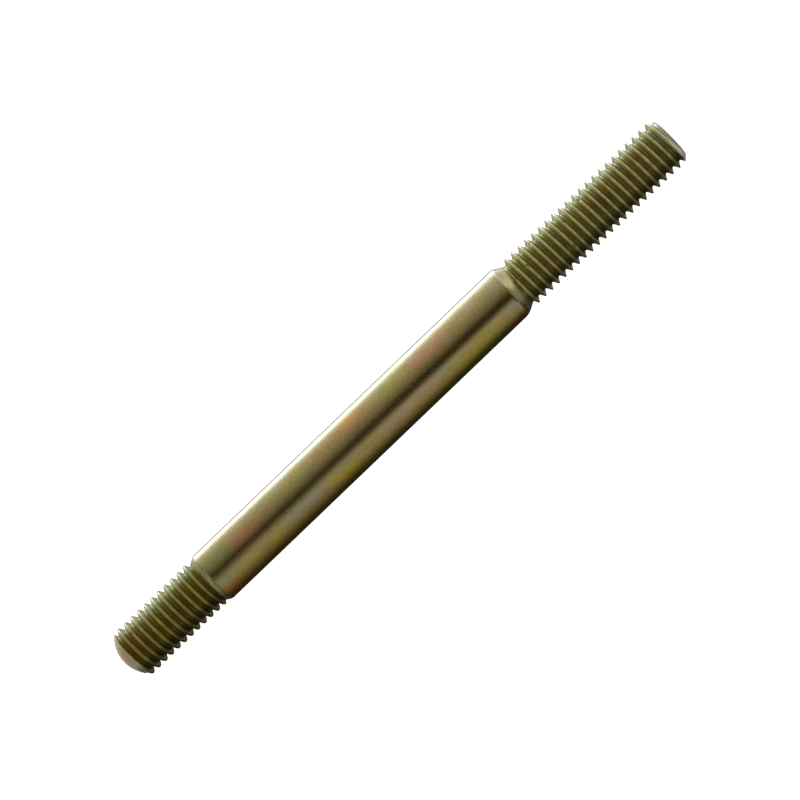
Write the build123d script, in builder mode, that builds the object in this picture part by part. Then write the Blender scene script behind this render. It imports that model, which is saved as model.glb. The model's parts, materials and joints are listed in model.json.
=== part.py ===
from build123d import *
import math
import os

# A double-ended stud bolt, made from one round bar. It stands along Z on the flat point of its
# long threaded end, at Z = 0, with the domed point of its short threaded end on top. Both
# threads are right-handed, real helical ridges with sharp crests and straight flanks.

# Driving dimensions, in millimetres and degrees
shank_diameter = 8.0
shank_length = 56.6  # full diameter, between the two cones
thread_pitch = 1.25
neck_rise = 0.12  # a cone's foot stands this far above the bottom of its thread
relief_angle = 30.0  # the ridge beside a foot is cut back this far off square

long_end_length = 28.8  # from the flat point to the foot of the cone
long_cone_length = 1.6
long_crest_drop = 0.17  # the crests stand this far below the shank
long_thread_depth = 0.82
long_ridge_start = 0.75  # on the +X side, from the foot to the first crest
point_chamfer = 0.8

short_end_length = 15.9  # from the foot of the cone to the domed point
short_cone_length = 1.1
short_crest_drop = 0.08
short_thread_depth = 0.84
short_ridge_start = 0.95
point_radius = 5.1  # the domed point

# Worked out from them
shank_radius = shank_diameter / 2
long_foot = long_end_length
shank_start = long_foot + long_cone_length
shank_end = shank_start + shank_length
short_foot = shank_end + short_cone_length
tip = short_foot + short_end_length

long_crest_radius = shank_radius - long_crest_drop
long_neck_radius = long_crest_radius - long_thread_depth + neck_rise
short_crest_radius = shank_radius - short_crest_drop
short_neck_radius = short_crest_radius - short_thread_depth + neck_rise
clear_radius = shank_radius + thread_pitch  # an end's outline is drawn out to here, past the crests
relief_slope = math.tan(math.radians(relief_angle))


def helix_turn(radius, start):
    """One turn of a right-hand helix about Z, up from its point on the +X side at Z = start."""
    return Edge.make_helix(thread_pitch, thread_pitch, radius, center=(0, 0, start))


def threaded_rod(crest_radius, depth, start, turns):
    """A rod with a sharp ridge, skinned turn by turn: one flank down to the root, one back up."""
    root_radius = crest_radius - depth
    skin = []
    for turn in range(turns):
        low = start + turn * thread_pitch
        crest = helix_turn(crest_radius, low)
        root = helix_turn(root_radius, low + thread_pitch / 2)
        next_crest = helix_turn(crest_radius, low + thread_pitch)
        skin.append(Face.make_surface_from_curves(crest, root))
        skin.append(Face.make_surface_from_curves(root, next_crest))
    # each end is closed by a screw surface out from the axis and one flat step, a pitch high
    for low in (start, start + turns * thread_pitch):
        on_axis = Edge.make_line((0, 0, low), (0, 0, low + thread_pitch))
        skin.append(Face.make_surface_from_curves(on_axis, helix_turn(crest_radius, low)))
        step = Wire.make_polygon(
            [
                (0, 0, low),
                (crest_radius, 0, low),
                (root_radius, 0, low + thread_pitch / 2),
                (crest_radius, 0, low + thread_pitch),
                (0, 0, low + thread_pitch),
            ]
        )
        skin.append(Face(step))
    return Solid(Shell(skin))


def turns_over(length):
    """Turns of thread that cover a length, and one more past each of its ends."""
    return math.ceil(length / thread_pitch) + 2


# Long end: chamfered flat point, thread, and the narrow vee below the cone
long_turns = turns_over(long_end_length)
long_rod = threaded_rod(
    long_crest_radius,
    long_thread_depth,
    long_foot - long_ridge_start - (long_turns - 1) * thread_pitch,
    long_turns,
)
with BuildPart() as long_end:
    with BuildSketch(Plane.XZ):
        with BuildLine():
            Polyline(
                (0, 0),
                (long_crest_radius - point_chamfer, 0),
                (clear_radius, point_chamfer + clear_radius - long_crest_radius),
                (clear_radius, long_foot - (clear_radius - long_neck_radius) * relief_slope),
                (long_neck_radius, long_foot),
                (0, long_foot),
                close=True,
            )
        make_face()
    revolve(axis=Axis.Z)
    add(long_rod, mode=Mode.INTERSECT)

# Short end: the narrow vee above the cone, thread, and the domed point
short_rod = threaded_rod(
    short_crest_radius,
    short_thread_depth,
    short_foot + short_ridge_start - 2 * thread_pitch,
    turns_over(short_end_length),
)
dome_angle = math.degrees(math.asin(min(1, clear_radius / point_radius)))
with BuildPart() as short_end:
    with BuildSketch(Plane.XZ):
        with BuildLine():
            dome = CenterArc((0, tip - point_radius), point_radius, 90 - dome_angle, dome_angle)
            Polyline(
                dome @ 1,
                (0, short_foot),
                (short_neck_radius, short_foot),
                (clear_radius, short_foot + (clear_radius - short_neck_radius) * relief_slope),
                dome @ 0,
            )
        make_face()
    revolve(axis=Axis.Z)
    add(short_rod, mode=Mode.INTERSECT)

# The bolt: the plain shank with a cone at each end, and the two threaded ends grown from it
with BuildPart() as stud_bolt:
    with BuildSketch(Plane.XZ):
        with BuildLine():
            Polyline(
                (0, long_foot),
                (long_neck_radius, long_foot),
                (shank_radius, shank_start),
                (shank_radius, shank_end),
                (short_neck_radius, short_foot),
                (0, short_foot),
                close=True,
            )
        make_face()
    revolve(axis=Axis.Z)
    add(long_end.part)
    add(short_end.part)

os.makedirs("parts", exist_ok=True)
stud_bolt.part.label = "stud_bolt"
export_step(stud_bolt.part, "parts/stud_bolt.step")
print("overall length", round(tip, 2), "volume", round(stud_bolt.part.volume, 1))
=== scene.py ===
# Stud bolt with rolled threads and a yellow zinc finish, dressed over the CAD solid.
# Everything is in metres; the bolt stands along Z on the flat point of its long thread.
import bpy
import bmesh
import json
import math
from mathutils import Matrix, Vector, noise


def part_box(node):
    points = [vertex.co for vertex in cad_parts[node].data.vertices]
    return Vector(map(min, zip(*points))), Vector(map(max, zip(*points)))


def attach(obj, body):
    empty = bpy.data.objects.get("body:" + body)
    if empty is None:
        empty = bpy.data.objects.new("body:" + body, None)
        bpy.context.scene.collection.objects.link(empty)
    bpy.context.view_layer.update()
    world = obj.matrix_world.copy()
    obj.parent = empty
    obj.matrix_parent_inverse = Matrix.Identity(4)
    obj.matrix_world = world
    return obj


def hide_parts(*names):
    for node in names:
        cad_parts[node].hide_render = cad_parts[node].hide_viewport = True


mm = 0.001

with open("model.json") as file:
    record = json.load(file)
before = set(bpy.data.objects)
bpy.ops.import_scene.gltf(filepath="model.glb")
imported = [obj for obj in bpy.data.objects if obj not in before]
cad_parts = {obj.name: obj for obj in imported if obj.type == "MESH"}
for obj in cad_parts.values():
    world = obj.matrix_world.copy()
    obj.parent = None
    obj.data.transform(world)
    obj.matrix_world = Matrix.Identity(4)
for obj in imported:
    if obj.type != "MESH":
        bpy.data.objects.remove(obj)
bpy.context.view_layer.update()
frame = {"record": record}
boltLow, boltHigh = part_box("stud_bolt")
mounts = {mount["name"]: mount for mount in frame["record"]["mounts"]}
shankMount = mounts["shank"]
print("frame loaded, bolt", round((boltHigh.z - boltLow.z) / mm, 1), "mm tall")

# sizes of the bolt; the shank and the overall height come from the frame
bolt = {
    "columns": 144,  # vertices round the bolt
    "shankRow": 0.8 * mm,  # spacing of the rings along the shank
    "weldWithin": 0.002 * mm,  # points nearer than this become one
    "shortestEdge": 0.0005 * mm,
    "sharpFrom": 42,  # degrees between two faces whose edge looks sharp
}
longThread = {
    "runsDown": True,  # away from the shank
    "pitch": 1.266 * mm,
    "crestDrop": 0.17 * mm,  # below the shank
    "crestRound": 0.13 * mm,
    "rootRound": 0.18 * mm,
    "crestFromShoulder": 2.51 * mm,  # a crest on the +X side
    "shoulderRound": 0.22 * mm,  # rounding between the shank and the cone
    "early": 0.0,  # how far before the shank's end the rounding begins
    "lean": 0.30 * mm,  # and how much earlier still on the -X side
    "roundMore": 1.20 * mm,  # how much rounder the shoulder is there
    "ridgeLean": 0.80 * mm,  # how much earlier the ridges begin there
    "dirtLean": 1.15 * mm,  # and the thread's darker finish
    "coneSlope": 0.57,  # fall of the cone for its length
    "ridgeFrom": 1.42 * mm,  # from the shoulder to where the ridge begins
    "ridgeGrows": 0.65 * mm,  # and the length over which it reaches full height
}
shortThread = {
    "runsDown": False,
    "pitch": 1.254 * mm,
    "crestDrop": 0.08 * mm,
    "crestRound": 0.21 * mm,
    "rootRound": 0.14 * mm,
    "crestFromShoulder": 1.945 * mm,
    "shoulderRound": 0.60 * mm,
    "early": 0.20 * mm,
    "lean": 0.0,
    "roundMore": 0.0,
    "ridgeLean": 0.0,
    "coneSlope": 0.60,
    "ridgeFrom": 0.60 * mm,
    "ridgeGrows": 0.90 * mm,
}
points = {
    "chamfer": 0.8 * mm,
    "faceAt": 0.15 * mm,  # the flat point is worn back by this much
    "domeRadius": 5.1 * mm,
    "capRings": 14,
    "faceRings": 5,
    "smallestRing": 0.2 * mm,  # round the middle of the flat point
    "leastChamfer": 0.005 * mm,
    "rimInside": 0.03 * mm,  # the dome's rim lies this far inside the thread's root
    "cutWithin": 0.03 * mm,  # ridges this near to the chamfer or the dome carry its finish
    "domeTop": 0.10 * mm,
    "pointEdge": 0.55 * mm,  # height of the flat point's finish
}
wear = {
    "waviness": 0.020 * mm,  # gentle unevenness of the rolled ridges
    "waveScale": 260.0,
    "crestDepth": 0.5,  # share of a ridge's depth that wears
    "nickDepth": 0.22 * mm,
    "nickScale": 560.0,
    "nickStart": 0.40,
    "dents": [  # (height, degrees round from +X, reach, depth), in mm
        (26.35, -75, 0.65, 0.40),
        (26.0, -52, 0.40, 0.20),
        (24.2, -40, 0.50, 0.24),
        (19.7, -116, 0.70, 0.36),
        (18.6, -59, 0.55, 0.30),
        (15.1, -47, 0.45, 0.26),
        (11.0, -66, 0.50, 0.24),
        (90.6, -35, 0.50, 0.28),
        (92.9, -28, 0.50, 0.24),
        (100.3, -58, 0.55, 0.26),
    ],
}

shankRadius = (boltHigh.x - boltLow.x) / 2
height = boltHigh.z
shankMiddle = Vector(shankMount["pos_m"]).z
shankLength = shankMount["dims"]["length_mm"] * mm
longThread["shoulder"] = shankMiddle - shankLength / 2
shortThread["shoulder"] = shankMiddle + shankLength / 2
dentPlaces = [
    (
        Vector(
            (
                shankRadius * math.cos(math.radians(degrees)),
                shankRadius * math.sin(math.radians(degrees)),
                z * mm,
            )
        ),
        reach * mm,
        depth * mm,
    )
    for z, degrees, reach, depth in wear["dents"]
]


def threadDepth(thread):
    # depth of a ridge with 60 degree flanks, whose crest and root are rounded
    sharp = thread["pitch"] / 2 * math.tan(math.radians(60))
    return sharp - thread["crestRound"] - thread["rootRound"]


def ridgeProfile(thread):
    # one pitch of the ridge as (fraction of the pitch, drop below the crest), crest first
    pitch = thread["pitch"]
    crestRound, rootRound = thread["crestRound"], thread["rootRound"]
    depth = threadDepth(thread)
    half = []
    for degrees in (0, 30, 60):  # round the crest
        angle = math.radians(degrees)
        half.append((crestRound * math.sin(angle), crestRound * (1 - math.cos(angle))))
    x, y = half[-1]
    rootAngles = [math.radians(degrees) for degrees in (60, 30, 0)]
    rootPoints = [
        (pitch / 2 - rootRound * math.sin(angle), depth - rootRound * (1 - math.cos(angle)))
        for angle in rootAngles
    ]
    for share in (1 / 3, 2 / 3):  # down the flank
        half.append((x + (rootPoints[0][0] - x) * share, y + (rootPoints[0][1] - y) * share))
    half += rootPoints
    full = [(x / pitch, y) for x, y in half]
    full += [(1 - x / pitch, y) for x, y in reversed(half[1:-1])]
    return full


def dropBelowCrest(profile, fraction):
    # drop of the ridge's section at a fraction of the pitch
    fraction = fraction % 1.0
    for (x0, y0), (x1, y1) in zip(profile, profile[1:] + [(1.0, profile[0][1])]):
        if x0 <= fraction <= x1:
            return y0 + (y1 - y0) * (fraction - x0) / (x1 - x0)
    return 0.0


def smoothStep(value):
    value = min(max(value, 0.0), 1.0)
    return value * value * (3 - 2 * value)


def ridgeWear(angle, z, crestShare):
    # how much metal is missing at a point, in metres; most at the crests
    place = Vector((math.cos(angle) * shankRadius, math.sin(angle) * shankRadius, z))
    wave = noise.noise(place * wear["waveScale"]) * 0.5 + 0.5
    nick = max(0.0, noise.noise(place * wear["nickScale"]) - wear["nickStart"])
    missing = wear["waviness"] * wave * crestShare + wear["nickDepth"] * nick * crestShare ** 2
    for centre, reach, depth in dentPlaces:
        if abs(z - centre.z) < reach:
            missing += depth * crestShare * smoothStep(1 - (place - centre).length / reach)
    return missing


def fromShoulder(thread, z):
    # distance from the shank's end into the thread
    return thread["shoulder"] - z if thread["runsDown"] else z - thread["shoulder"]


def shiftedDistance(thread, angle, z, lean):
    # the cone and the first ridges were not cut quite square to the shank
    return fromShoulder(thread, z) + thread["early"] + lean * (1 - math.cos(angle)) / 2


def coneRadius(thread, angle, z):
    # the cone under the shank's rounded shoulder
    extra = thread["roundMore"] * (0.5 - 0.5 * math.cos(angle)) ** 2
    along = max(0.0, shiftedDistance(thread, angle, z, thread["lean"]) + extra / 2)
    rounding = thread["shoulderRound"] + extra
    if along < rounding:
        return shankRadius - thread["coneSlope"] * along ** 2 / (2 * rounding)
    return shankRadius - thread["coneSlope"] * (along - rounding / 2)


def crestHeight(thread):
    # height of a crest on the +X side
    step = thread["crestFromShoulder"]
    return thread["shoulder"] + (-step if thread["runsDown"] else step)


def threadRadius(thread, profile, angle, z):
    # radius of a threaded stretch, whose ridge dies away on the cone
    depth = threadDepth(thread)
    rootRadius = shankRadius - thread["crestDrop"] - depth
    fraction = (z - crestHeight(thread)) / thread["pitch"] - angle / (2 * math.pi)
    drop = dropBelowCrest(profile, fraction)
    ridgeAlong = shiftedDistance(thread, angle, z, thread["ridgeLean"])
    grown = smoothStep((ridgeAlong - thread["ridgeFrom"]) / thread["ridgeGrows"])
    crestShare = (1 - min(1.0, drop / (depth * wear["crestDepth"]))) * grown
    ridge = rootRadius + (depth - drop) * grown - ridgeWear(angle, z, crestShare)
    return max(ridge, coneRadius(thread, angle, z))


def pointLimit(z):
    # the chamfer at the bottom and the dome at the top cut the ridges off
    longCrest = shankRadius - longThread["crestDrop"]
    chamferLimit = longCrest - points["chamfer"] + z - points["faceAt"]
    reach = points["domeRadius"] - (height - z)
    domeLimit = math.sqrt(max(points["domeRadius"] ** 2 - max(reach, 0.0) ** 2, 0.0))
    return min(chamferLimit, domeLimit)


def helicalRows(profile, pitch, crestAt, low, high, angle):
    # heights of the rows on one column, which follow the helix and stop at the two ends
    rise = pitch * angle / (2 * math.pi)
    first = math.floor((low - crestAt) / pitch) - 2
    last = math.ceil((high - crestAt) / pitch) + 2
    rows = []
    for turn in range(first, last):
        for fraction, drop in profile:
            rows.append(min(max(crestAt + rise + (turn + fraction) * pitch, low), high))
    return rows


def addHelicalStretch(vertices, faces, thread, low, high):
    columns = bolt["columns"]
    profile = ridgeProfile(thread)
    perTurn = len(profile)
    start = len(vertices)
    rowCount = 0
    for column in range(columns):
        angle = 2 * math.pi * column / columns
        rows = helicalRows(profile, thread["pitch"], crestHeight(thread), low, high, angle)
        rowCount = len(rows)
        for z in rows:
            radius = min(threadRadius(thread, profile, angle, z), pointLimit(z))
            vertices.append((radius * math.cos(angle), radius * math.sin(angle), z))
    for column in range(columns):
        wraps = column == columns - 1
        base = start + column * rowCount
        beside = start if wraps else base + rowCount
        shift = perTurn if wraps else 0
        for row in range(rowCount - 1 - shift):
            across = beside + row + shift
            faces.append((base + row, across, across + 1, base + row + 1))


def addRings(vertices, faces, section):
    # flat rings of the given (radius, z) sections, joined one to the next
    columns = bolt["columns"]
    start = len(vertices)
    for radius, z in section:
        for column in range(columns):
            angle = 2 * math.pi * column / columns
            vertices.append((radius * math.cos(angle), radius * math.sin(angle), z))
    for ring in range(len(section) - 1):
        for column in range(columns):
            nextColumn = (column + 1) % columns
            base = start + ring * columns
            above = base + columns
            faces.append((base + column, base + nextColumn, above + nextColumn, above + column))
    return start


def shankEnd(thread):
    # where the straight part of the shank ends
    step = thread["early"] + thread["lean"] + thread["roundMore"] / 2
    return thread["shoulder"] + (step if thread["runsDown"] else -step)


def addFan(vertices, faces, ringStart, centre, upward):
    # closes a ring with triangles to one point in its middle
    columns = bolt["columns"]
    hub = len(vertices)
    vertices.append(centre)
    for column in range(columns):
        edge = (ringStart + column, ringStart + (column + 1) % columns)
        faces.append((edge[0], edge[1], hub) if upward else (edge[1], edge[0], hub))


def shankSection():
    # rings of the plain shank, as (radius, z)
    start, end = shankEnd(longThread), shankEnd(shortThread)
    rows = max(2, round((end - start) / bolt["shankRow"]))
    return [(shankRadius, start + (end - start) * row / rows) for row in range(rows + 1)]


def makeBolt():
    vertices, faces = [], []
    # long thread, from just above the flat point to its shoulder
    longCrest = shankRadius - longThread["crestDrop"]
    longRoot = longCrest - threadDepth(longThread)
    flatRadius = longCrest - points["chamfer"]
    faceAt = points["faceAt"]
    longLow = faceAt + max((longRoot - flatRadius) / 2, points["leastChamfer"])
    addHelicalStretch(vertices, faces, longThread, longLow, shankEnd(longThread))
    addRings(vertices, faces, [(flatRadius, faceAt), (flatRadius + longLow - faceAt, longLow)])
    faceRings, smallest = points["faceRings"], points["smallestRing"]
    faceRing = [
        (flatRadius * (1 - ring / faceRings) + smallest * ring / faceRings, faceAt)
        for ring in range(faceRings + 1)
    ]
    faceRing.reverse()
    start = addRings(vertices, faces, faceRing)
    addFan(vertices, faces, start, (0.0, 0.0, faceAt), False)
    addRings(vertices, faces, shankSection())
    # short thread, up to where the dome has cut the last of the ridge away
    shortRoot = shankRadius - shortThread["crestDrop"] - threadDepth(shortThread)
    domeRadius = points["domeRadius"]
    rimRadius = shortRoot - points["rimInside"]
    shortHigh = height - domeRadius + math.sqrt(domeRadius ** 2 - rimRadius ** 2)
    addHelicalStretch(vertices, faces, shortThread, shankEnd(shortThread), shortHigh)
    rimAngle = math.asin(rimRadius / domeRadius)
    cap = []
    for ring in range(points["capRings"]):
        angle = rimAngle * (1 - ring / points["capRings"])
        cap.append((domeRadius * math.sin(angle), height - domeRadius * (1 - math.cos(angle))))
    start = addRings(vertices, faces, cap)
    lastRing = start + (len(cap) - 1) * bolt["columns"]
    addFan(vertices, faces, lastRing, (0.0, 0.0, height), True)

    mesh = bpy.data.meshes.new("boltBody")
    mesh.from_pydata(vertices, [], faces)
    mesh.update()
    piece = bpy.data.objects.new("boltBody", mesh)
    bpy.context.collection.objects.link(piece)
    weldMesh(piece)
    return piece


def weldMesh(piece):
    # joins the stretches into one closed skin
    work = bmesh.new()
    work.from_mesh(piece.data)
    bmesh.ops.remove_doubles(work, verts=work.verts, dist=bolt["weldWithin"])
    bmesh.ops.dissolve_degenerate(work, edges=work.edges, dist=bolt["shortestEdge"])
    bmesh.ops.recalc_face_normals(work, faces=work.faces)
    openEdges = [edge for edge in work.edges if len(edge.link_faces) != 2]
    print("bolt mesh", len(work.verts), "points,", len(work.faces), "faces")
    print("edges left open", len(openEdges))
    for face in work.faces:
        face.smooth = True
    work.to_mesh(piece.data)
    work.free()
    piece.data.set_sharp_from_angle(angle=math.radians(bolt["sharpFrom"]))


# finishes; colours are linear, lengths of patches and grain are in millimetres
# a layer is (tint, most of it, noise level where it starts and is full, across, along, shift)
shankFinish = {
    "base": (0.62, 0.485, 0.205),
    "layers": [
        ((0.78, 0.43, 0.215), 0.85, 0.51, 0.70, 1.2, 2.6, 3.1),  # salmon
        ((0.66, 0.54, 0.085), 0.75, 0.54, 0.74, 1.0, 2.4, 17.3),  # yellow
        ((0.46, 0.50, 0.20), 0.75, 0.51, 0.70, 1.3, 3.0, 29.7),  # green
        ((0.60, 0.51, 0.38), 0.75, 0.53, 0.72, 1.0, 2.8, 41.9),  # grey
        ((0.46, 0.34, 0.11), 0.50, 0.50, 0.72, 0.45, 1.6, 53.3),  # brown streaks
    ],
    "spots": [  # (height, degrees round from +X, along, across, tint, most of it)
        (85.6, -108, 2.4, 1.1, (0.45, 0.52, 0.21), 0.7),
        (84.2, -70, 3.6, 1.8, (0.46, 0.54, 0.20), 0.6),
        (79.6, -74, 3.2, 1.3, (0.86, 0.42, 0.22), 0.8),
        (85.3, -134, 2.0, 1.1, (0.84, 0.38, 0.12), 0.75),
        (81.0, -119, 2.4, 1.0, (0.60, 0.58, 0.10), 0.7),
        (76.0, -121, 2.2, 1.0, (0.66, 0.53, 0.07), 0.7),
        (70.0, -61, 3.4, 1.0, (0.58, 0.56, 0.16), 0.7),
        (70.5, -113, 3.6, 1.3, (0.50, 0.50, 0.33), 0.8),
        (63.4, -127, 2.6, 1.0, (0.68, 0.58, 0.03), 0.9),
        (58.0, -50, 3.0, 1.2, (0.82, 0.46, 0.16), 0.8),
        (51.0, -61, 3.2, 1.2, (0.58, 0.58, 0.13), 0.7),
        (49.0, -109, 6.0, 1.4, (0.66, 0.50, 0.32), 0.7),
        (44.6, -62, 4.0, 1.4, (0.80, 0.44, 0.24), 0.8),
        (44.8, -94, 2.6, 0.8, (0.44, 0.52, 0.27), 0.7),
        (40.0, -128, 5.0, 0.9, (0.62, 0.54, 0.06), 0.7),
        (35.6, -118, 2.6, 1.2, (0.62, 0.53, 0.10), 0.6),
        (31.3, -116, 1.8, 1.7, (0.48, 0.49, 0.29), 0.85),
    ],
    "wander": 1.3,  # how far the edges of patches wander
    "mottle": 0.26,
    "roughLow": 0.13,
    "roughHigh": 0.21,
    "grainAlong": 0.55,
    "grainAround": 0.16,
    "grainStrength": 0.16,
    "metallic": 1.0,
}
shortThreadFinish = {
    "base": (0.45, 0.375, 0.050),
    "layers": [
        ((0.40, 0.24, 0.055), 0.70, 0.50, 0.70, 1.6, 2.6, 5.7),  # red brown
        ((0.29, 0.315, 0.07), 0.70, 0.48, 0.70, 1.9, 3.0, 13.9),  # green
        ((0.22, 0.17, 0.035), 0.60, 0.52, 0.72, 0.6, 0.7, 23.1),  # stains
    ],
    "spots": [
        (101.2, -80, 1.8, 2.2, (0.46, 0.24, 0.05), 0.7),
        (91.8, -72, 1.3, 1.8, (0.42, 0.24, 0.06), 0.5),
        (98.5, -130, 3.0, 1.6, (0.36, 0.30, 0.03), 0.6),
        # painted highlight: a pale stretch along the lit +X side of the thread
        (95.5, -18, 9.0, 2.6, (0.70, 0.67, 0.36), 0.65),
        (88.0, -112, 1.1, 3.6, (0.16, 0.13, 0.03), 0.75),
    ],
    "wander": 0.9,
    "mottle": 0.40,
    "roughLow": 0.26,
    "roughHigh": 0.42,
    "grainAlong": 0.12,
    "grainAround": 0.30,
    "grainStrength": 0.30,
    "metallic": 0.7,
    # painted light on the threads: painted shade in the grooves and along the -X side, painted
    # highlight on the crests, which are also worn
    "grooveShade": 0.50,  # how dark the painted shade in the grooves is
    "rubbedAndHighlight": 0.20,
    "rubAndHighlightHeight": 0.25,  # share of the ridge's height that is rubbed and carries the painted highlight
    "sideShade": 0.80,
}
longThreadFinish = dict(
    shortThreadFinish,
    # painted shade in the grooves and on the -X side, painted highlight on the worn crests
    grooveShade=0.60,
    rubbedAndHighlight=0.92,
    rubAndHighlightHeight=0.33,
    sideShade=0.60,
    base=(0.64, 0.56, 0.15),
    layers=[
        ((0.53, 0.36, 0.11), 0.65, 0.52, 0.72, 1.6, 2.6, 5.7),
        ((0.42, 0.45, 0.16), 0.70, 0.46, 0.68, 1.9, 3.0, 13.9),
        ((0.30, 0.24, 0.07), 0.60, 0.52, 0.72, 0.6, 0.7, 23.1),
    ],
    spots=[
        (12.5, -80, 2.4, 1.6, (0.46, 0.25, 0.05), 0.6),
        (5.6, -64, 1.5, 1.2, (0.44, 0.20, 0.05), 0.7),
        (28.7, -55, 0.5, 0.5, (0.22, 0.12, 0.03), 0.7),
        (26.4, -75, 0.5, 0.7, (0.10, 0.075, 0.02), 0.9),
        (20.0, -117, 0.5, 0.6, (0.16, 0.11, 0.03), 0.8),
        (18.8, -58, 0.4, 0.5, (0.16, 0.12, 0.03), 0.8),
        (1.6, -80, 0.7, 4.0, (0.66, 0.70, 0.42), 0.8),
        # painted highlight: a pale stretch along the lit +X side of the thread
        (15.0, -18, 15.0, 2.6, (0.76, 0.73, 0.42), 0.5),
    ],
)
domeFinish = {
    "base": (0.78, 0.73, 0.45),
    "layers": [
        ((0.50, 0.54, 0.36), 0.60, 0.50, 0.70, 1.5, 1.5, 19.3),  # green grey
        ((0.34, 0.29, 0.12), 0.50, 0.54, 0.72, 0.5, 0.5, 31.1),  # stains
    ],
    "spots": [
        (103.3, -80, 1.1, 1.9, (0.86, 0.50, 0.17), 0.9),
        (102.4, -138, 1.2, 1.4, (0.34, 0.35, 0.26), 0.8),
        # painted shade: a dark band across the top of the dome
        (104.15, -90, 0.42, 14.0, (0.34, 0.335, 0.235), 0.6),
    ],
    "wander": 0.3,
    "mottle": 0.25,
    "roughLow": 0.34,
    "roughHigh": 0.48,
    "grainAlong": 0.3,
    "grainAround": 0.3,
    "grainStrength": 0.2,
    "metallic": 1.0,
}
chamferFinish = dict(domeFinish, base=(0.62, 0.62, 0.45), spots=[])
neckFinish = dict(shankFinish, base=(0.55, 0.50, 0.26), mottle=0.45, roughLow=0.26, roughHigh=0.40)
coneFinish = dict(
    shankFinish,
    base=(0.73, 0.645, 0.40),
    layers=[
        ((0.60, 0.62, 0.33), 0.60, 0.48, 0.68, 1.0, 1.2, 29.7),  # green
        ((0.50, 0.41, 0.22), 0.50, 0.52, 0.72, 0.6, 0.6, 53.3),  # stains
    ],
    spots=[(29.6, -118, 3.0, 2.4, (0.60, 0.62, 0.33), 0.8)],
    roughLow=0.20,
    roughHigh=0.30,
)
mottling = {
    "across": 0.22,
    "along": 0.4,
    "shift": 61.0,
    "darkAt": 0.3,  # noise levels at which it is darkest, clear of dark, and roughest
    "clearAt": 0.6,
    "roughAt": 0.7,
}
grain = {
    "shift": 71.0,
    "height": 0.02 * mm,
}
spotEdge = {
    "across": 1.1,  # size of the wandering
    "along": 1.8,
    "shift": 83.0,
    "full": 0.2,  # shares of a spot's size between which it fades
    "gone": 1.4,
}
# pale crests: partly worn metal, partly painted highlight
crestRubAndHighlight = {
    "tint": (0.84, 0.77, 0.42),
    "patch": 0.9,  # length of the rubbed stretches
    "shift": 91.0,
    "topShare": 0.04,  # share of the ridge's height that is rubbed and painted brightest
    "patchFrom": 0.32,  # noise levels between which a stretch is rubbed
    "patchTo": 0.62,
    "least": 0.25,
}
# painted shade: darker towards the bottom of the grooves and along the -X side of the threads
grooveAndSideShade = {
    "tint": (0.14, 0.105, 0.02),
    "upTo": 0.55,  # share of the ridge's height that it reaches
    "sideShadeTint": (0.12, 0.10, 0.03),  # painted shade along the -X side
    "sideFrom": 0.36,  # shares of the radius between which the painted shade deepens
    "sideTo": 0.66,
    "wobble": 0.6 * mm,  # how far its edge wanders
}


def addNode(tree, kind, inputs=None, **settings):
    node = tree.nodes.new(kind)
    for name, value in settings.items():
        setattr(node, name, value)
    for name, value in (inputs or {}).items():
        if isinstance(value, bpy.types.NodeSocket):
            tree.links.new(value, node.inputs[name])
        else:
            node.inputs[name].default_value = value
    return node


def stretchedPlace(tree, across, along, shift):
    # coordinates in which one unit is a patch's own size
    place = addNode(tree, "ShaderNodeTexCoord")
    scale = (1 / (across * mm), 1 / (across * mm), 1 / (along * mm))
    return addNode(
        tree,
        "ShaderNodeMapping",
        {"Vector": place.outputs["Object"], "Scale": scale, "Location": (shift, shift, shift)},
    ).outputs["Vector"]


def colourRamp(tree, fac, stops):
    ramp = addNode(tree, "ShaderNodeValToRGB", {"Fac": fac})
    elements = ramp.color_ramp.elements
    for position, colour in stops[1:-1]:
        elements.new(position)
    for element, (position, colour) in zip(elements, stops):
        element.position = position
        element.color = (*colour, 1)
    return ramp.outputs["Color"]


def tintBy(tree, mode, fac, first, second):
    node = addNode(tree, "ShaderNodeMix", data_type="RGBA", blend_type=mode)
    for socket, value in ((node.inputs[0], fac), (node.inputs[6], first), (node.inputs[7], second)):
        if isinstance(value, bpy.types.NodeSocket):
            tree.links.new(value, socket)
        else:
            socket.default_value = value
    return node.outputs[2]


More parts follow.
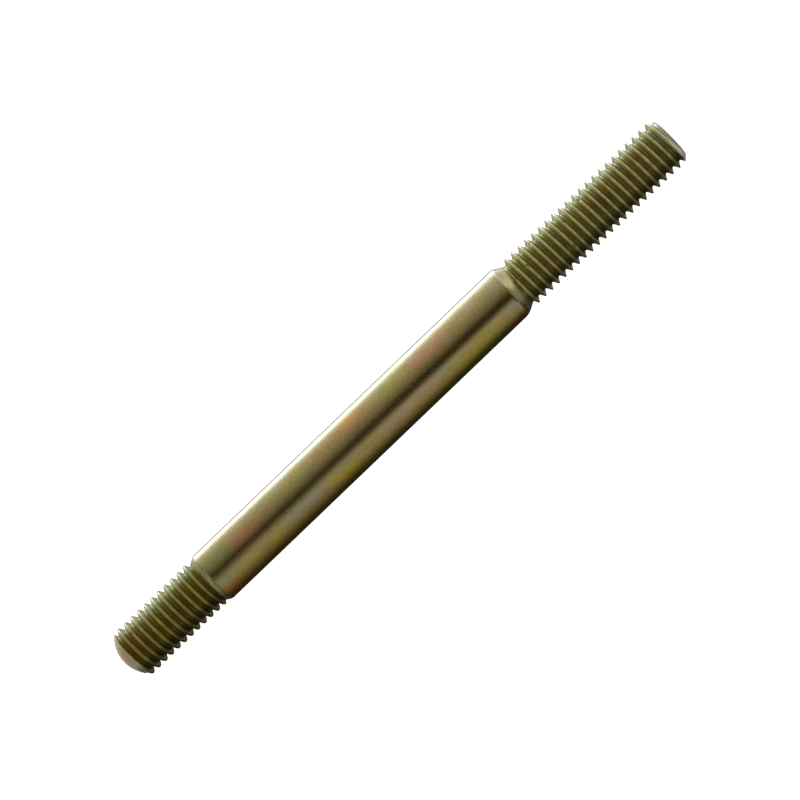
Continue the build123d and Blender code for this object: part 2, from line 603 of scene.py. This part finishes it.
def zincMaterial(name, finish, rootRadius=None, crestRadius=None):
    material = bpy.data.materials.new(name)
    material.use_nodes = True
    tree = material.node_tree
    shader = tree.nodes["Principled BSDF"]
    colour = (*finish["base"], 1)
    # soft patches of the passivation
    for tint, most, start, full, across, along, shift in finish["layers"]:
        patches = addNode(
            tree,
            "ShaderNodeTexNoise",
            {
                "Vector": stretchedPlace(tree, across, along, shift),
                "Scale": 1.0,
                "Detail": 3.0,
                "Roughness": 0.6,
                "Distortion": 0.3,
            },
        )
        mask = addNode(
            tree,
            "ShaderNodeMapRange",
            {"Value": patches.outputs["Fac"], "From Min": start, "From Max": full, "To Max": most},
            interpolation_type="SMOOTHSTEP",
        )
        colour = tintBy(tree, "MIX", mask.outputs["Result"], colour, (*tint, 1))
    if finish["spots"]:
        colour = addSpots(tree, colour, finish)
    # fine mottling
    mottle = addNode(
        tree,
        "ShaderNodeTexNoise",
        {
            "Vector": stretchedPlace(tree, mottling["across"], mottling["along"], mottling["shift"]),
            "Scale": 1.0,
            "Detail": 5.0,
            "Roughness": 0.65,
        },
    )
    mottleShade = addNode(
        tree,
        "ShaderNodeMapRange",
        {
            "Value": mottle.outputs["Fac"],
            "From Min": mottling["darkAt"],
            "From Max": mottling["clearAt"],
            "To Min": 1 - finish["mottle"],
            "To Max": 1.0,
        },
    )
    shade = addNode(
        tree,
        "ShaderNodeCombineColor",
        {channel: mottleShade.outputs["Result"] for channel in ("Red", "Green", "Blue")},
    )
    colour = tintBy(tree, "MULTIPLY", 1.0, colour, shade.outputs["Color"])
    rough = addNode(
        tree,
        "ShaderNodeMapRange",
        {
            "Value": mottle.outputs["Fac"],
            "From Min": mottling["darkAt"],
            "From Max": mottling["roughAt"],
            "To Min": finish["roughLow"],
            "To Max": finish["roughHigh"],
        },
    )
    # threads: painted shade in the grooves and on the -X side, painted highlight on the worn crests
    if rootRadius:
        colour = threadShadeAndWear(tree, colour, finish, rootRadius, crestRadius)
    tree.links.new(colour, shader.inputs["Base Color"])
    tree.links.new(rough.outputs["Result"], shader.inputs["Roughness"])
    shader.inputs["Metallic"].default_value = finish["metallic"]
    # grain left by grinding and rolling
    lines = addNode(
        tree,
        "ShaderNodeTexNoise",
        {
            "Vector": stretchedPlace(
                tree, finish["grainAround"], finish["grainAlong"], grain["shift"]
            ),
            "Scale": 1.0,
            "Detail": 3.0,
        },
    )
    bump = addNode(
        tree,
        "ShaderNodeBump",
        {
            "Height": lines.outputs["Fac"],
            "Strength": finish["grainStrength"],
            "Distance": grain["height"],
        },
    )
    tree.links.new(bump.outputs["Normal"], shader.inputs["Normal"])
    return material


def addSpots(tree, colour, finish):
    # single patches of colour, with wandering edges
    place = addNode(tree, "ShaderNodeTexCoord")
    stray = addNode(
        tree,
        "ShaderNodeTexNoise",
        {
            "Vector": stretchedPlace(tree, spotEdge["across"], spotEdge["along"], spotEdge["shift"]),
            "Scale": 1.0,
            "Detail": 3.0,
        },
    )
    centred = addNode(
        tree,
        "ShaderNodeVectorMath",
        {0: stray.outputs["Color"], 1: (0.5, 0.5, 0.5)},
        operation="SUBTRACT",
    )
    wander = finish["wander"] * 2 * mm
    wanders = (wander, wander, wander * 2)  # twice as far along the bolt
    wandered = addNode(
        tree,
        "ShaderNodeVectorMath",
        {0: centred.outputs["Vector"], 1: wanders, 2: place.outputs["Object"]},
        operation="MULTIPLY_ADD",
    )
    for z, degrees, along, across, tint, most in finish["spots"]:
        angle = math.radians(degrees)
        centre = (shankRadius * math.cos(angle), shankRadius * math.sin(angle), z * mm)
        scale = (1 / (across * mm), 1 / (across * mm), 1 / (along * mm))
        offset = addNode(
            tree,
            "ShaderNodeVectorMath",
            {0: wandered.outputs["Vector"], 1: centre},
            operation="SUBTRACT",
        )
        sized = addNode(
            tree,
            "ShaderNodeVectorMath",
            {0: offset.outputs["Vector"], 1: scale},
            operation="MULTIPLY",
        )
        reach = addNode(
            tree, "ShaderNodeVectorMath", {0: sized.outputs["Vector"]}, operation="LENGTH"
        )
        mask = addNode(
            tree,
            "ShaderNodeMapRange",
            {
                "Value": reach.outputs["Value"],
                "From Min": spotEdge["full"],
                "From Max": spotEdge["gone"],
                "To Min": most,
                "To Max": 0.0,
            },
            interpolation_type="SMOOTHSTEP",
        )
        colour = tintBy(tree, "MIX", mask.outputs["Result"], colour, (*tint, 1))
    return colour


def threadShadeAndWear(tree, colour, finish, rootRadius, crestRadius):
    # painted shade in the bottom of the grooves and along the -X side, pale crests that are partly
    # worn and partly painted highlight, by distance from the axis
    place = addNode(tree, "ShaderNodeTexCoord")
    flat = addNode(
        tree,
        "ShaderNodeVectorMath",
        {0: place.outputs["Object"], 1: (1.0, 1.0, 0.0)},
        operation="MULTIPLY",
    )
    reach = addNode(
        tree, "ShaderNodeVectorMath", {0: flat.outputs["Vector"]}, operation="LENGTH"
    )
    depth = crestRadius - rootRadius
    # painted shade, darkest at the root of the grooves
    grooveShadeMask = addNode(
        tree,
        "ShaderNodeMapRange",
        {
            "Value": reach.outputs["Value"],
            "From Min": rootRadius,
            "From Max": rootRadius + depth * grooveAndSideShade["upTo"],
            "To Min": finish["grooveShade"],
            "To Max": 0.0,
        },
    )
    # pale crests, partly worn metal and partly painted highlight
    crest = addNode(
        tree,
        "ShaderNodeMapRange",
        {
            "Value": reach.outputs["Value"],
            "From Min": crestRadius - depth * finish["rubAndHighlightHeight"],
            "From Max": crestRadius - depth * crestRubAndHighlight["topShare"],
            "To Min": 0.0,
            "To Max": finish["rubbedAndHighlight"],
        },
    )
    patches = addNode(
        tree,
        "ShaderNodeTexNoise",
        {
            "Vector": stretchedPlace(
                tree, crestRubAndHighlight["patch"], crestRubAndHighlight["patch"], crestRubAndHighlight["shift"]
            ),
            "Scale": 1.0,
            "Detail": 4.0,
        },
    )
    patchy = addNode(
        tree,
        "ShaderNodeMapRange",
        {
            "Value": patches.outputs["Fac"],
            "From Min": crestRubAndHighlight["patchFrom"],
            "From Max": crestRubAndHighlight["patchTo"],
            "To Min": crestRubAndHighlight["least"],
            "To Max": 1.0,
        },
    )
    rubbedAndHighlight = addNode(
        tree,
        "ShaderNodeMath",
        {0: crest.outputs["Result"], 1: patchy.outputs["Result"]},
        operation="MULTIPLY",
    )
    # painted shade: darker towards the -X side of the threads, with a wandering edge
    apart = addNode(tree, "ShaderNodeSeparateXYZ", {"Vector": place.outputs["Object"]})
    wobble = addNode(
        tree,
        "ShaderNodeMath",
        {0: patches.outputs["Fac"], 1: grooveAndSideShade["wobble"], 2: apart.outputs["X"]},
        operation="MULTIPLY_ADD",
    )
    side = addNode(
        tree,
        "ShaderNodeMapRange",
        {
            "Value": wobble.outputs["Value"],
            "From Min": grooveAndSideShade["wobble"] / 2 - grooveAndSideShade["sideTo"] * shankRadius,
            "From Max": grooveAndSideShade["wobble"] / 2 - grooveAndSideShade["sideFrom"] * shankRadius,
            "To Min": finish["sideShade"],
            "To Max": 0.0,
        },
        interpolation_type="SMOOTHSTEP",
    )
    # mixes in the painted shade of the grooves, the pale crests and the painted shade of the -X side
    colour = tintBy(tree, "MIX", grooveShadeMask.outputs["Result"], colour, (*grooveAndSideShade["tint"], 1))
    colour = tintBy(tree, "MIX", rubbedAndHighlight.outputs["Value"], colour, (*crestRubAndHighlight["tint"], 1))
    return tintBy(tree, "MIX", side.outputs["Result"], colour, (*grooveAndSideShade["sideShadeTint"], 1))


def finishAt(centre):
    # which finish a face with this centre carries
    z = centre.z
    angle = math.atan2(centre.y, centre.x)
    reach = math.hypot(centre.x, centre.y)
    cutOff = reach > pointLimit(z) - points["cutWithin"] or z > height - points["domeTop"]
    if cutOff or z < points["faceAt"] + points["pointEdge"]:
        return "flatPoint" if z < height / 2 else "dome"
    if shiftedDistance(longThread, angle, z, longThread["dirtLean"]) > longThread["ridgeFrom"]:
        return "longThread"
    if fromShoulder(longThread, z) > 0:
        return "cone"
    if fromShoulder(shortThread, z) > shortThread["ridgeFrom"]:
        return "shortThread"
    if fromShoulder(shortThread, z) > -shortThread["early"]:
        return "neck"
    return "shank"


def dressBolt(piece):
    longCrest = shankRadius - longThread["crestDrop"]
    longRoot = longCrest - threadDepth(longThread)
    shortCrest = shankRadius - shortThread["crestDrop"]
    shortRoot = shortCrest - threadDepth(shortThread)
    materials = {
        "shank": zincMaterial("zincOnShank", shankFinish),
        "longThread": zincMaterial("zincOnLongThread", longThreadFinish, longRoot, longCrest),
        "shortThread": zincMaterial("zincOnShortThread", shortThreadFinish, shortRoot, shortCrest),
        "dome": zincMaterial("zincOnDome", domeFinish),
        "flatPoint": zincMaterial("zincOnFlatPoint", chamferFinish),
        "neck": zincMaterial("zincOnNeck", neckFinish),
        "cone": zincMaterial("zincOnCone", coneFinish),
    }
    slots = {part: number for number, part in enumerate(materials)}
    for material in materials.values():
        piece.data.materials.append(material)
    for face in piece.data.polygons:
        face.material_index = slots[finishAt(face.center)]


boltBody = makeBolt()
dressBolt(boltBody)
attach(boltBody, "root")
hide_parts("stud_bolt")
print("bolt made and dressed")

# studio: (degrees round from the viewer's side, positive to the right; brightness; warmth)
studio = {
    "left": [
        (-180, 0.03, 0.6),
        (-140, 0.03, 0.8),
        (-119, 0.045, 1.0),
        (-105, 0.11, 0.9),
        (-93, 0.20, 0.6),
        (-72, 0.36, 0.35),
        (-53, 0.40, 0.1),
    ],
    "front": [
        (-40, 0.46, -0.05),
        (-30, 0.36, 0.1),
        (-22, 0.09, 0.6),
        (-14, 0.02, 1.0),
        (-4, 0.015, 1.0),
        (6, 0.09, 0.6),
        (20, 0.23, 0.3),
    ],
    "frontHigh": [  # the same a little above level, where the dark strip is narrower
        (-42, 0.34, 0.0),
        (-34, 0.25, 0.1),
        (-26, 0.17, 0.3),
        (-18, 0.09, 0.7),
        (-11, 0.025, 1.0),
        (-3, 0.10, 0.7),
        (6, 0.17, 0.4),
        (20, 0.25, 0.2),
    ],
    "right": [
        (45, 0.40, 0.1),
        (72, 0.58, 0.0),
        (90, 0.70, -0.3),
        (102, 0.95, -0.7),
        (112, 1.35, -0.8),
        (122, 2.5, -0.8),
        (141, 3.2, -0.8),
        (147, 0.6, 0.0),
        (180, 0.3, 0.0),
    ],
    "highFrom": 0.02,  # upward share of a direction where it begins
    "highAt": 6.5,  # degrees above level where it is full
    "warmTint": (1.0, 0.84, 0.34),
    "coolTint": (1.0, 1.28, 1.95),
    "twist": 2.1,  # degrees that the surround turns with each degree of height
    "twistUpTo": 12.0,
    "twistFrom": -0.5,  # only in front: shares towards the viewer between which it comes in
    "twistFull": 0.3,
    "steepFrom": 9.0,  # degrees above or below level where the steep light begins
    "steepTo": 30.0,
    "sideReach": 1.4,
    "over": [  # (from front left -1.4 to back right 1.4, brightness, warmth)
        (-1.4, 0.14, 0.3),
        (-1.25, 0.30, 0.2),
        (-1.1, 0.27, 0.2),
        (-0.95, 0.27, 0.1),
        (-0.76, 0.36, 0.1),
        (-0.62, 0.46, 0.0),
        (-0.45, 0.42, 0.0),
        (-0.1, 0.30, 0.0),
        (0.2, 0.28, 0.0),
        (0.6, 0.42, 0.0),
        (0.9, 0.50, -0.2),
        (1.0, 0.64, -0.2),
        (1.4, 0.8, -0.2),
    ],
    "under": [
        (-1.4, 0.14, 0.3),
        (-1.25, 0.32, 0.2),
        (-1.1, 0.28, 0.2),
        (-0.95, 0.27, 0.1),
        (-0.80, 0.29, 0.1),
        (-0.62, 0.27, 0.1),
        (-0.50, 0.30, 0.1),
        (-0.36, 0.74, 0.0),
        (0.05, 0.78, 0.0),
        (0.35, 0.66, 0.0),
        (0.9, 0.60, 0.0),
        (1.0, 0.72, 0.0),
        (1.4, 0.72, 0.0),
    ],
    "overBlend": 0.1,  # upward share over which the light from under gives way to that from over
    "leftFrom": 0.50,  # steep light from the left and behind is dimmed between these shares
    "leftTo": 0.90,
    "leftBehind": 0.4,
    "leftDim": 0.08,
    "floorRadius": 0.32,
    "floorSides": 96,
    "floorColour": (0.5, 0.5, 0.5),
    "floorGlow": 1.0,
    "floorRough": 0.9,
    "floorShine": 0.1,
    "white": 1.15,
}


def lightColour(level, warmth):
    # a brightness and a warmth as a colour; negative warmth is cool
    tint = studio["warmTint"] if warmth > 0 else studio["coolTint"]
    share = abs(warmth)
    return tuple(level * (1 + (part - 1) * share) for part in tint)


def lightRamp(tree, fac, stops):
    # colours brighter than white are kept by scaling the ramp down and its result up
    colours = [(position, lightColour(level, warmth)) for position, level, warmth in stops]
    brightest = max(max(colour) for position, colour in colours)
    scaled = [
        (position, tuple(part / brightest for part in colour)) for position, colour in colours
    ]
    ramp = colourRamp(tree, fac, scaled)
    return addNode(
        tree, "ShaderNodeVectorMath", {0: ramp, 1: (brightest,) * 3}, operation="MULTIPLY"
    ).outputs["Vector"]


def makeSurround():
    # soft light by direction alone; the camera itself sees plain white
    world = bpy.data.worlds.new("softStudio")
    bpy.context.scene.world = world
    world.use_nodes = True
    tree = world.node_tree
    background = tree.nodes["Background"]
    place = addNode(tree, "ShaderNodeTexCoord")
    parts = addNode(tree, "ShaderNodeSeparateXYZ", {"Vector": place.outputs["Generated"]})
    towards = addNode(
        tree, "ShaderNodeMath", {0: parts.outputs["Y"], 1: -1.0}, operation="MULTIPLY"
    )
    turn = addNode(
        tree,
        "ShaderNodeMath",
        {0: parts.outputs["X"], 1: towards.outputs["Value"]},
        operation="ARCTAN2",
    )
    twistTop = math.sin(math.radians(studio["twistUpTo"]))
    twistMost = math.radians(studio["twistUpTo"]) * studio["twist"]
    twist = addNode(
        tree,
        "ShaderNodeMapRange",
        {
            "Value": parts.outputs["Z"],
            "From Min": -twistTop,
            "From Max": twistTop,
            "To Min": twistMost,
            "To Max": -twistMost,
        },
    )
    front = addNode(
        tree,
        "ShaderNodeMapRange",
        {
            "Value": towards.outputs["Value"],
            "From Min": studio["twistFrom"],
            "From Max": studio["twistFull"],
        },
    )
    turned = addNode(
        tree,
        "ShaderNodeMath",
        {0: twist.outputs["Result"], 1: front.outputs["Result"], 2: turn.outputs["Value"]},
        operation="MULTIPLY_ADD",
    )
    share = addNode(
        tree,
        "ShaderNodeMapRange",
        {"Value": turned.outputs["Value"], "From Min": -math.pi, "From Max": math.pi},
    )
    level, high = [
        lightRamp(
            tree,
            share.outputs["Result"],
            [
                ((degrees + 180) / 360, brightness, warmth)
                for degrees, brightness, warmth in studio["left"] + studio[part] + studio["right"]
            ],
        )
        for part in ("front", "frontHigh")
    ]
    raised = addNode(
        tree,
        "ShaderNodeMapRange",
        {
            "Value": parts.outputs["Z"],
            "From Min": studio["highFrom"],
            "From Max": math.sin(math.radians(studio["highAt"])),
        },
    )
    around = tintBy(tree, "MIX", raised.outputs["Result"], level, high)
    backed = addNode(
        tree,
        "ShaderNodeMath",
        {0: parts.outputs["X"], 1: parts.outputs["Y"]},
        operation="ADD",
    )
    sideReach = studio["sideReach"]
    sideways = addNode(
        tree,
        "ShaderNodeMapRange",
        {"Value": backed.outputs["Value"], "From Min": -sideReach, "From Max": sideReach},
    )
    over, under = [
        lightRamp(
            tree,
            sideways.outputs["Result"],
            [
                ((side + sideReach) / (2 * sideReach), brightness, warmth)
                for side, brightness, warmth in studio[part]
            ],
        )
        for part in ("over", "under")
    ]
    upward = addNode(
        tree,
        "ShaderNodeMapRange",
        {
            "Value": parts.outputs["Z"],
            "From Min": -studio["overBlend"],
            "From Max": studio["overBlend"],
        },
    )
    steep = tintBy(tree, "MIX", upward.outputs["Result"], under, over)
    leftward = addNode(
        tree,
        "ShaderNodeMath",
        {0: towards.outputs["Value"], 1: studio["leftBehind"], 2: parts.outputs["X"]},
        operation="MULTIPLY_ADD",
    )
    leftDim = addNode(
        tree,
        "ShaderNodeMapRange",
        {
            "Value": leftward.outputs["Value"],
            "From Min": -studio["leftTo"],
            "From Max": -studio["leftFrom"],
            "To Min": studio["leftDim"],
            "To Max": 1.0,
        },
    )
    steep = addNode(
        tree,
        "ShaderNodeVectorMath",
        {0: steep, "Scale": leftDim.outputs["Result"]},
        operation="SCALE",
    ).outputs["Vector"]
    climb = addNode(tree, "ShaderNodeMath", {0: parts.outputs["Z"]}, operation="ABSOLUTE")
    steepness = addNode(
        tree,
        "ShaderNodeMapRange",
        {
            "Value": climb.outputs["Value"],
            "From Min": math.sin(math.radians(studio["steepFrom"])),
            "From Max": math.sin(math.radians(studio["steepTo"])),
        },
        interpolation_type="SMOOTHSTEP",
    )
    light = tintBy(tree, "MIX", steepness.outputs["Result"], around, steep)
    path = addNode(tree, "ShaderNodeLightPath")
    white = studio["white"]
    seen = tintBy(tree, "MIX", path.outputs["Is Camera Ray"], light, (white, white, white, 1))
    tree.links.new(seen, background.inputs["Color"])


def makeFloor():
    sides, radius = studio["floorSides"], studio["floorRadius"]
    angles = [2 * math.pi * side / sides for side in range(sides)]
    corners = [(radius * math.cos(angle), radius * math.sin(angle), 0) for angle in angles]
    mesh = bpy.data.meshes.new("floor")
    mesh.from_pydata(corners, [], [tuple(range(sides))])
    floor = bpy.data.objects.new("floor", mesh)
    bpy.context.collection.objects.link(floor)
    material = bpy.data.materials.new("paleFloor")
    material.use_nodes = True
    shader = material.node_tree.nodes["Principled BSDF"]
    shader.inputs["Base Color"].default_value = (*studio["floorColour"], 1)
    shader.inputs["Roughness"].default_value = studio["floorRough"]
    shader.inputs["Specular IOR Level"].default_value = studio["floorShine"]
    shader.inputs["Emission Color"].default_value = (1, 1, 1, 1)
    shader.inputs["Emission Strength"].default_value = studio["floorGlow"]
    mesh.materials.append(material)
    # the soft surround alone lights the bolt
    floor.visible_glossy = False
    floor.visible_diffuse = False


# the camera stands level with the long thread's shoulder and looks up a little
view = {
    "distance": 0.43,
    "height": 0.037,
    "aimUp": 1.9445,  # degrees
    "frameWidth": 0.1097,  # width seen at the bolt
    "lean": 43.79,  # degrees of the bolt above level, long thread up and to the right
    "aside": -0.00022,
    "sensorWidth": 36,
    "nearest": 0.01,
}


def makeCamera():
    lens = bpy.data.cameras.new("camera")
    lens.sensor_width = view["sensorWidth"]
    lens.lens = lens.sensor_width * view["distance"] / view["frameWidth"]
    lens.clip_start = view["nearest"]
    camera = bpy.data.objects.new("camera", lens)
    bpy.context.collection.objects.link(camera)
    lean, aimUp = math.radians(view["lean"]), math.radians(view["aimUp"])
    across = Vector((1, 0, 0))
    along = Vector((0, -math.sin(aimUp), math.cos(aimUp)))
    right = -math.sin(lean) * across - math.cos(lean) * along
    up = math.cos(lean) * across - math.sin(lean) * along
    rotation = Matrix((right, up, across.cross(along))).transposed()
    camera.matrix_world = Matrix.Translation(
        Vector((view["aside"], -view["distance"], view["height"]))
    ) @ rotation.to_4x4()
    bpy.context.scene.camera = camera


makeSurround()
makeFloor()
makeCamera()
bpy.context.scene.view_settings.view_transform = "Standard"
print("studio and camera set")
